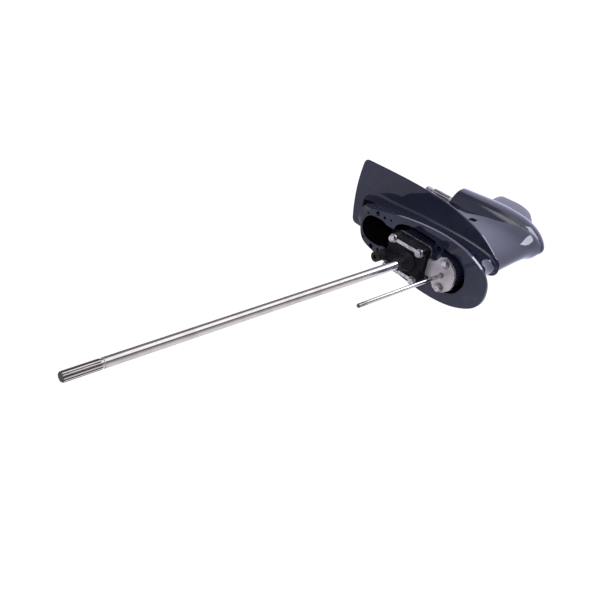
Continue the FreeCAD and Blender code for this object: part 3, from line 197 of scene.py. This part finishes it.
# Painted shade on the insides of the case, in metres: the recess that holds the pump, and the exhaust mouth
# behind it
insidePaintedShade = {
    # the colour of the painted shade, and how much of the clear coat it takes away
    "shade": rgb(0.0015, 0.0015, 0.0020),
    "coatLost": 0.92,
    "top": -0.0012,
    "foot": -0.0700,
    "edge": 0.0015,
    "recessMiddle": -0.0200,
    "recessTurn": (0.0030, 0.0010),
    "mouthRear": -0.1550,
    "mouthFront": -0.0900,
    "mouthSide": 0.0280,
    "mouthEdge": 0.0020,
    "mouthTurn": (-0.0010, -0.0040),
}


def insidePaintedShadeMask(tree, p):
    # Mask of the painted shade: 1 below the flange's face, where a wall faces the middle of the recess or
    # of the mouth
    look = insidePaintedShade
    below = look["top"] - look["edge"]
    sideways = part(p, "Y") * facing(tree, "Y")
    outOfRecess = (part(p, "X") - look["recessMiddle"]) * facing(tree, "X") + sideways
    recess = band(part(p, "Z"), look["foot"], below, look["edge"])
    recess = recess * between(outOfRecess, *look["recessTurn"])
    mouthMiddle = (look["mouthRear"] + look["mouthFront"]) / 2
    outOfMouth = (part(p, "X") - mouthMiddle) * facing(tree, "X") + sideways
    mouth = band(part(p, "X"), look["mouthRear"], look["mouthFront"], look["mouthEdge"])
    mouth = mouth * band(part(p, "Y"), -look["mouthSide"], look["mouthSide"], look["mouthEdge"])
    mouth = mouth * between(part(p, "Z"), look["top"], below) * between(outOfMouth, *look["mouthTurn"])
    return recess.maths("MAXIMUM", recess, mouth)


def casePaintRecipe(tree):
    look = casePaint
    p = place(tree)
    paintedShade = insidePaintedShadeMask(tree, p)
    colour = mixed(between(noise(p, *look["drift"]), *look["driftSpan"]), look["deep"], look["lifted"])
    flake = between(cells(p, look["flakeScale"]), *look["flakeSpan"])
    colour = mixed(flake * look["flakeShare"], colour, look["flake"])
    smudge = between(noise(p, *look["smudge"]), *look["smudgeSpan"])
    film = smudge * between(facing(tree, "Z"), *look["lyingSpan"]) * look["dustShare"]
    colour = mixed(film, colour, look["dust"])
    # Painted shade: the recess and the exhaust mouth are painted near black
    colour = mixed(paintedShade, colour, insidePaintedShade["shade"])
    rough = roughened(noise(p, *look["rub"]), look) + film
    # Orange peel of the clear coat on a slow swell of the casting
    peel = noise(p, *look["peel"]) + noise(p, *look["swell"]) * look["swellShare"]
    varied = surface(colour, rough, bumped(peel, *look["bump"]))
    # The painted shade also takes most of the clear coat away there
    varied["Coat Weight"] = 1.0 - paintedShade * insidePaintedShade["coatLost"]
    return varied


# Ground and polished stainless steel of the three shafts; the roots of the splines are darkened by grease
# and painted shade
shaftSteel = {
    "bright": rgb(0.56, 0.535, 0.555),
    "brown": rgb(0.31, 0.285, 0.295),
    "cloud": (30.0, 4.0, 0.6),
    "brownSpan": (0.45, 0.75),
    "brownShare": (0.0, 0.55),
    "brownRoughSpan": (0.4, 0.8),
    "brownRough": (0.0, 0.07),
    "greaseAndShade": rgb(0.055, 0.046, 0.040),
    "greaseAndShadeSpan": (0.2, 0.6),
    "greaseAndShadeShare": (0.6, 1.0),
    "greaseRough": 0.25,
    "greaseEdge": 0.0004,
    "rings": (1.0, 3.0, 0.7),
    "ringSpan": (0.25, 0.75),
    "roughness": (0.08, 0.18),
    "bump": (0.06, 0.0002),
    "threadEdge": 0.0003,
    "threadBump": (1.0, 0.0004),
}

# Each shaft in metres: its axis and middle, how fine the grinding rings lie along X, Y and Z, where the
# splines run and their radii from clean to greased and painted shaded, and the pitch and reach of a thread
shafts = {
    "driveshaft": {
        "way": "Z", "across": ("X", "Y"), "middle": (0.0, 0.0), "ringScale": (30.0, 30.0, 2600.0),
        "splines": (0.7100, 0.7720), "radii": (0.0082, 0.0074),
    },
    "shiftRod": {
        "way": "Z", "across": ("X", "Y"), "middle": (0.07, 0.0), "ringScale": (30.0, 30.0, 2600.0),
        "splines": (0.2310, 0.2500), "radii": (0.0039, 0.0035),
    },
    "propellerShaft": {
        "way": "X", "across": ("Y", "Z"), "middle": (0.0, -0.283), "ringScale": (2600.0, 30.0, 30.0),
        "splines": (-0.1970, -0.1500), "radii": (0.0098, 0.0090),
        "pitch": 0.0015, "thread": (-0.2180, -0.1985),
    },
}


def shaftRecipe(shaft):
    def recipe(tree):
        look = shaftSteel
        p = place(tree)
        along = part(p, shaft["way"])
        first = part(p, shaft["across"][0]) - shaft["middle"][0]
        second = part(p, shaft["across"][1]) - shaft["middle"][1]
        rings = noise(stretched(p, *shaft["ringScale"]), *look["rings"])
        cloud = noise(p, *look["cloud"])
        brown = between(cloud, *look["brownSpan"], *look["brownShare"])
        colour = mixed(brown, look["bright"], look["brown"])
        # Grease and painted shade darken the roots of the splines
        greaseAndShade = band(along, *shaft["splines"], look["greaseEdge"])
        greaseAndShade = greaseAndShade * between(distance(first, second), *shaft["radii"])
        patchy = between(cloud, *look["greaseAndShadeSpan"], *look["greaseAndShadeShare"])
        colour = mixed(greaseAndShade * patchy, colour, look["greaseAndShade"])
        rough = between(rings, *look["ringSpan"], *look["roughness"]) + greaseAndShade * look["greaseRough"]
        rough = rough + between(cloud, *look["brownRoughSpan"], *look["brownRough"])
        normal = bumped(rings, *look["bump"])
        if "pitch" in shaft:
            # A thread is a wave of the turn round the shaft that moves on by one pitch each turn
            turn = first.maths("ARCTAN2", first, second) + along * (2 * math.pi / shaft["pitch"])
            wave = turn.maths("SINE", turn, 0.0) * band(along, *shaft["thread"], look["threadEdge"])
            normal = bumped(wave, *look["threadBump"], normal)
        return surface(colour, rough, normal)
    return recipe


# Plain stainless bolts, strips and plugs, a little warm; painted shade makes their sides darker than the
# rubbed tops
boltSteel = {
    "bright": rgb(0.76, 0.72, 0.71),
    "dullAndSideShade": rgb(0.24, 0.225, 0.22),
    "cloud": (160.0, 4.0, 0.6),
    "dullSpan": (0.42, 0.70),
    "paintedSideShadeTurn": (0.6, 0.2),
    "paintedSideShadeShare": 0.18,
    "roughness": (0.20, 0.40),
    "grain": (900.0, 2.0),
    "bump": (0.10, 0.0002),
}


def boltRecipe(tree):
    look = boltSteel
    p = place(tree)
    cloud = noise(p, *look["cloud"])
    # Painted shade on the sides, which face away from up
    paintedSideShade = between(facing(tree, "Z"), *look["paintedSideShadeTurn"]) * look["paintedSideShadeShare"]
    colour = mixed(between(cloud + paintedSideShade, *look["dullSpan"]), look["bright"], look["dullAndSideShade"])
    return surface(colour, roughened(cloud, look), bumped(noise(p, *look["grain"]), *look["bump"]))


# Satin plate over the shift rod; painted shade darkens it in rings round its two bolts and the rod
retainerSheet = {
    "light": rgb(0.64, 0.585, 0.595),
    "shade": rgb(0.46, 0.415, 0.425),
    "cloud": (40.0, 4.0, 0.6),
    "shadeSpan": (0.35, 0.70),
    "paintedRingShade": rgb(0.150, 0.138, 0.132),
    "paintedRingShadeSpan": (0.2, 0.6),
    "paintedRingShadeShare": (0.45, 0.9),
    # middle in X and Y, and the radii where the painted shade ends and where it is full
    "paintedShadeRings": [
        (0.072, 0.026, 0.0120, 0.0086), (0.072, -0.026, 0.0120, 0.0086), (0.070, 0.0, 0.0075, 0.0045),
    ],
    "grainScale": (60.0, 1400.0, 60.0),
    "grain": (1.0, 3.0),
    "roughness": (0.33, 0.50),
    "bump": (0.06, 0.0002),
}


def retainerRecipe(tree):
    look = retainerSheet
    p = place(tree)
    grain = noise(stretched(p, *look["grainScale"]), *look["grain"])
    cloud = noise(p, *look["cloud"])
    colour = mixed(between(cloud, *look["shadeSpan"]), look["light"], look["shade"])
    patchy = between(cloud, *look["paintedRingShadeSpan"], *look["paintedRingShadeShare"])
    # Painted contact shade round each bolt and round the rod
    for x, y, end, full in look["paintedShadeRings"]:
        near = between(distance(part(p, "X") - x, part(p, "Y") - y), end, full)
        colour = mixed(near * patchy, colour, look["paintedRingShade"])
    return surface(colour, roughened(grain, look), bumped(grain, *look["bump"]))


# Glass-filled black plastic with a fine moulded grain
blackPlastic = {
    "black": rgb(0.0045, 0.0045, 0.0075),
    "grey": rgb(0.0130, 0.0130, 0.0180),
    "cloud": (45.0, 4.0, 0.6),
    "greySpan": (0.40, 0.75),
    "roughness": (0.34, 0.52),
    "grain": (1500.0, 2.0),
    "bump": (0.16, 0.0003),
}


def plasticRecipe(tree):
    look = blackPlastic
    p = place(tree)
    cloud = noise(p, *look["cloud"])
    colour = mixed(between(cloud, *look["greySpan"]), look["black"], look["grey"])
    return surface(colour, roughened(cloud, look), bumped(noise(p, *look["grain"]), *look["bump"]))


# Black rubber with a grey bloom
blackRubber = {
    "black": rgb(0.010, 0.010, 0.010),
    "grey": rgb(0.040, 0.040, 0.041),
    "bloom": (90.0, 5.0, 0.65),
    "greySpan": (0.45, 0.80),
    "roughness": (0.52, 0.72),
    "grain": (1100.0, 2.0),
    "bump": (0.14, 0.0003),
}


def rubberRecipe(tree):
    look = blackRubber
    p = place(tree)
    bloom = noise(p, *look["bloom"])
    colour = mixed(between(bloom, *look["greySpan"]), look["black"], look["grey"])
    return surface(colour, roughened(bloom, look), bumped(noise(p, *look["grain"]), *look["bump"]))


# Hardened gear steel with an oil film
gearSteel = {
    "bright": rgb(0.44, 0.435, 0.43),
    "dark": rgb(0.20, 0.19, 0.185),
    "heat": (70.0, 4.0, 0.6),
    "darkSpan": (0.40, 0.75),
    "marks": (900.0, 2.0),
    "roughness": (0.21, 0.38),
    "bump": (0.07, 0.0002),
}


def gearRecipe(tree):
    look = gearSteel
    p = place(tree)
    marks = noise(p, *look["marks"])
    colour = mixed(between(noise(p, *look["heat"]), *look["darkSpan"]), look["bright"], look["dark"])
    return surface(colour, roughened(marks, look), bumped(marks, *look["bump"]))


# Ground bearing rings and rollers
bearingSteel = {
    "bright": rgb(0.60, 0.60, 0.61),
    "shade": rgb(0.42, 0.42, 0.43),
    "haze": (120.0, 3.0),
    "shadeSpan": (0.40, 0.70),
    "roughness": (0.12, 0.26),
    "grain": (1600.0, 2.0),
    "bump": (0.04, 0.0001),
}


def bearingRecipe(tree):
    look = bearingSteel
    p = place(tree)
    haze = noise(p, *look["haze"])
    colour = mixed(between(haze, *look["shadeSpan"]), look["bright"], look["shade"])
    return surface(colour, roughened(haze, look), bumped(noise(p, *look["grain"]), *look["bump"]))


# Rolled stainless sheet
sheetSteel = {
    "bright": rgb(0.56, 0.56, 0.57),
    "shade": rgb(0.36, 0.36, 0.37),
    "rollScale": (40.0, 1800.0, 1800.0),
    "roll": (1.0, 3.0),
    "roughness": (0.22, 0.37),
    "bump": (0.05, 0.0002),
}


def sheetRecipe(tree):
    look = sheetSteel
    rolled = noise(stretched(place(tree), *look["rollScale"]), *look["roll"])
    colour = mixed(between(rolled, *noiseSpan), look["bright"], look["shade"])
    return surface(colour, roughened(rolled, look), bumped(rolled, *look["bump"]))


# Sand-cast alloy of the bearing carrier and its ring nut
castAlloy = {
    "light": rgb(0.30, 0.305, 0.32),
    "dark": rgb(0.13, 0.135, 0.145),
    "stain": (38.0, 4.0, 0.6),
    "darkSpan": (0.35, 0.75),
    "skin": (420.0, 4.0, 0.6),
    "roughness": (0.40, 0.65),
    "bump": (0.22, 0.0005),
}


def castRecipe(tree):
    look = castAlloy
    p = place(tree)
    skin = noise(p, *look["skin"])
    colour = mixed(between(noise(p, *look["stain"]), *look["darkSpan"]), look["light"], look["dark"])
    return surface(colour, roughened(skin, look), bumped(skin, *look["bump"]))


# Bare anode metal of the trim tab, with a pitted white bloom
anodeMetal = {
    "grey": rgb(0.34, 0.345, 0.35),
    "white": rgb(0.58, 0.585, 0.59),
    "bloom": (60.0, 5.0, 0.65),
    "bloomSpan": (0.4, 0.7),
    "roughness": (0.55, 0.75),
    "pit": rgb(0.14, 0.14, 0.14),
    "pitScale": 260.0,
    "pitSpan": (0.22, 0.10),
    "pitShare": 0.6,
    "skin": (500.0, 3.0),
    "bump": (0.22, 0.0005),
}


def anodeRecipe(tree):
    look = anodeMetal
    p = place(tree)
    bloom = between(noise(p, *look["bloom"]), *look["bloomSpan"])
    pit = between(cells(p, look["pitScale"]), *look["pitSpan"]) * look["pitShare"]
    colour = mixed(pit, mixed(bloom, look["grey"], look["white"]), look["pit"])
    rough = between(bloom, 0.0, 1.0, *look["roughness"])
    return surface(colour, rough, bumped(noise(p, *look["skin"]) - pit, *look["bump"]))


# Pressed gasket sheet with fibres
gasketSheet = {
    "grey": rgb(0.17, 0.165, 0.15),
    "pale": rgb(0.27, 0.26, 0.235),
    "fibreScale": (300.0, 1600.0, 300.0),
    "fibre": (1.0, 4.0, 0.7),
    "paleSpan": (0.4, 0.7),
    "roughness": (0.70, 0.90),
    "bump": (0.15, 0.0002),
}


def gasketRecipe(tree):
    look = gasketSheet
    fibre = noise(stretched(place(tree), *look["fibreScale"]), *look["fibre"])
    colour = mixed(between(fibre, *look["paleSpan"]), look["grey"], look["pale"])
    return surface(colour, roughened(fibre, look), bumped(fibre, *look["bump"]))


# What stays the same over each surface
clearCoat = {"Specular IOR Level": 0.0, "Coat Weight": 1.0, "Coat Roughness": 0.03, "Coat IOR": 1.5}
bareMetal = {"Metallic": 1.0}
satinMetal = {"Metallic": 0.9}
dullMetal = {"Metallic": 0.7}
bloomedMetal = {"Metallic": 0.6}
dullPlastic = {"Specular IOR Level": 0.10}
dullRubber = {"Specular IOR Level": 0.2}

finishes = {
    "case_paint": finishOf("casePaint", clearCoat, casePaintRecipe),
    "polished_steel": finishOf("driveshaftSteel", bareMetal, shaftRecipe(shafts["driveshaft"])),
    "rod_steel": finishOf("shiftRodSteel", bareMetal, shaftRecipe(shafts["shiftRod"])),
    "propeller_steel": finishOf("propellerShaftSteel", bareMetal, shaftRecipe(shafts["propellerShaft"])),
    "gear_steel": finishOf("gearSteel", bareMetal, gearRecipe),
    "bearing_steel": finishOf("bearingSteel", bareMetal, bearingRecipe),
    "bright_bolt": finishOf("boltSteel", bareMetal, boltRecipe),
    "retainer_plate": finishOf("retainerSheet", satinMetal, retainerRecipe),
    "brushed_plate": finishOf("sheetSteel", bareMetal, sheetRecipe),
    "carrier_alloy": finishOf("castAlloy", dullMetal, castRecipe),
    "anode_zinc": finishOf("anodeMetal", bloomedMetal, anodeRecipe),
    "black_plastic": finishOf("blackPlastic", dullPlastic, plasticRecipe),
    "black_rubber": finishOf("blackRubber", dullRubber, rubberRecipe),
    "gasket": finishOf("gasketSheet", {}, gasketRecipe),
}
# These two share the driveshaft's slot, but their axes and splines lie elsewhere
ownFinish = {"propeller_shaft": "propeller_steel", "shift_rod": "rod_steel"}
for entry in frame["record"]["subparts"]:
    slotName = ownFinish.get(entry["node"], entry["material_slot"])
    for materialSlot in nodes[entry["node"]].material_slots:
        materialSlot.material = finishes[slotName]
print("finishes:", len(finishes))


# Plain white studio: floor and sky look white, and gloss sees the lights and cards of a photo shoot
studio = {
    "floorGap": 0.012,
    "floorSize": 40.0,
    "floorBase": rgb(0.10, 0.10, 0.10),
    "white": rgb(1.0, 1.0, 1.0),
    "skyFill": rgb(0.80, 0.80, 0.82),
    # what gloss sees of the floor close to the part, and of the bright card beside its nose
    "nearFloor": rgb(1.24, 1.24, 1.70),
    "nearReach": (0.42, 0.60),
    "card": rgb(9.0, 9.3, 10.8),
    "cardMiddle": (0.170, 0.420),
    "cardHalf": (0.090, 0.180),
    "cardEdge": 0.012,
    # what gloss sees of the floor further off, by the share of a full turn from the stern over starboard
    "farFloor": [
        (0.00, rgb(0.16, 0.15, 0.15)), (0.13, rgb(0.30, 0.29, 0.29)), (0.27, rgb(1.00, 0.98, 0.97)),
        (0.42, rgb(1.05, 1.03, 1.02)), (0.50, rgb(0.62, 0.60, 0.60)), (0.55, rgb(0.40, 0.38, 0.38)),
        (0.585, rgb(0.07, 0.065, 0.065)), (0.63, rgb(0.10, 0.095, 0.095)), (0.66, rgb(1.7, 1.68, 1.65)),
        (0.79, rgb(1.7, 1.68, 1.65)), (0.825, rgb(0.30, 0.29, 0.28)), (0.88, rgb(0.15, 0.14, 0.14)),
        (1.00, rgb(0.16, 0.15, 0.15)),
    ],
    # what gloss sees of the sky, from level to straight up
    "skyBands": [
        (0.00, rgb(0.42, 0.42, 0.44)), (0.30, rgb(0.52, 0.52, 0.57)), (0.62, rgb(0.63, 0.64, 0.75)),
        (0.80, rgb(0.69, 0.70, 0.81)), (1.00, rgb(0.65, 0.66, 0.77)),
    ],
    # the long light along the port side: its way, how far it spreads to the sides, and its rise above level
    "stripLight": rgb(3.6, 3.6, 3.7),
    "stripWay": (-0.17, 0.985, 0.0),
    "stripSpread": (0.90, 0.96),
    "stripRise": (-0.05, 0.45),
    "stripEdge": 0.05,
}


def lightPath(tree, which):
    return Wire(tree).node("ShaderNodeLightPath", {}, {}, which)


def turnShare(ahead, aside):
    # share of a full turn round the part: 0 at the stern, 0.25 starboard, 0.5 bow, 0.75 port
    return between(ahead.maths("ARCTAN2", aside, ahead), -math.pi, math.pi)


def floorMirror(tree):
    look = studio
    p = place(tree)
    ahead = part(p, "X")
    aside = part(p, "Y")
    far = p.node("ShaderNodeValToRGB", {"stops": look["farFloor"]}, {0: turnShare(ahead, aside)})
    seen = mixed(between(distance(ahead, aside), *look["nearReach"]), look["nearFloor"], far)
    (cardX, cardY), (halfX, halfY) = look["cardMiddle"], look["cardHalf"]
    card = band(ahead, cardX - halfX, cardX + halfX, look["cardEdge"])
    card = card * band(aside, cardY - halfY, cardY + halfY, look["cardEdge"])
    return mixed(card, seen, look["card"])


def floorRecipe(tree):
    shown = mixed(lightPath(tree, "Is Glossy Ray"), studio["white"], floorMirror(tree))
    # Seen from below, the floor is clear, so that it doesn't hide the part
    fromBelow = Wire(tree).node("ShaderNodeNewGeometry", {}, {}, "Backfacing")
    return {"Emission Color": shown, "Alpha": 1.0 - fromBelow}


def layFloor():
    half = studio["floorSize"] / 2
    height = cadLow.z - studio["floorGap"]
    corners = [(-half, -half, height), (half, -half, height), (half, half, height), (-half, half, height)]
    mesh = bpy.data.meshes.new("floor")
    mesh.from_pydata(corners, [], [(0, 1, 2, 3)])
    floor = bpy.data.objects.new("floor", mesh)
    bpy.context.scene.collection.objects.link(floor)
    glow = {"Base Color": studio["floorBase"], "Roughness": 1.0, "Specular IOR Level": 0.0}
    glow["Emission Strength"] = 1.0
    mesh.materials.append(finishOf("floorWhite", glow, floorRecipe))
    mesh.materials[0].cycles.emission_sampling = "NONE"


def lightTheSky():
    look = studio
    world = bpy.data.worlds.new("studioSky")
    world.use_nodes = True
    bpy.context.scene.world = world
    tree = world.node_tree
    way = Wire(tree).node("ShaderNodeTexCoord", {}, {}, "Generated")
    up = part(way, "Z")
    mirror = up.node("ShaderNodeValToRGB", {"stops": look["skyBands"]}, {0: up})
    sockets = {0: way, 1: look["stripWay"]}
    towards = way.node("ShaderNodeVectorMath", {"operation": "DOT_PRODUCT"}, sockets, "Value")
    strip = band(up, *look["stripRise"], look["stripEdge"]) * between(towards, *look["stripSpread"])
    mirror = mixed(strip, mirror, look["stripLight"])
    sky = mixed(lightPath(tree, "Is Glossy Ray"), look["skyFill"], mirror)
    sky = mixed(lightPath(tree, "Is Camera Ray"), sky, look["white"])
    tree.links.new(sky.socket, tree.nodes["Background"].inputs["Color"])
    world.cycles.sampling_method = "NONE"


# One soft light over the port side, which gloss doesn't see
keyLight = {
    "spot": (0.3, 1.3, 1.6),
    "aim": (0.0, 0.0, 0.0),
    "width": 0.8,
    "height": 0.8,
    "power": 16.0,
}


def hangKeyLight():
    lamp = bpy.data.lights.new("keyLight", "AREA")
    lamp.shape = "RECTANGLE"
    lamp.size = keyLight["width"]
    lamp.size_y = keyLight["height"]
    lamp.energy = keyLight["power"]
    holder = bpy.data.objects.new("keyLight", lamp)
    holder.location = keyLight["spot"]
    towards = Vector(keyLight["aim"]) - Vector(keyLight["spot"])
    holder.rotation_euler = towards.to_track_quat("-Z", "Y").to_euler()
    holder.visible_glossy = False
    bpy.context.scene.collection.objects.link(holder)


# The photo's own view: places in metres, lens and sensor in millimetres
camera = {
    "spot": (0.8267, 0.7291, 1.2316),
    "aim": (-0.0956, -0.0915, 0.2138),
    "roll": math.radians(-108.70),
    "lens": 50.0,
    "sensor": 36.0,
}


def standCamera():
    data = bpy.data.cameras.new("photoCamera")
    data.lens = camera["lens"]
    data.sensor_width = camera["sensor"]
    holder = bpy.data.objects.new("photoCamera", data)
    back = (Vector(camera["spot"]) - Vector(camera["aim"])).normalized()
    turn = Matrix.Rotation(camera["roll"], 4, back) @ back.to_track_quat("Z", "Y").to_matrix().to_4x4()
    holder.matrix_world = Matrix.Translation(camera["spot"]) @ turn
    bpy.context.scene.collection.objects.link(holder)
    bpy.context.scene.camera = holder


bpy.context.scene.view_settings.view_transform = "Standard"
layFloor()
lightTheSky()
hangKeyLight()
standCamera()
print("studio set")
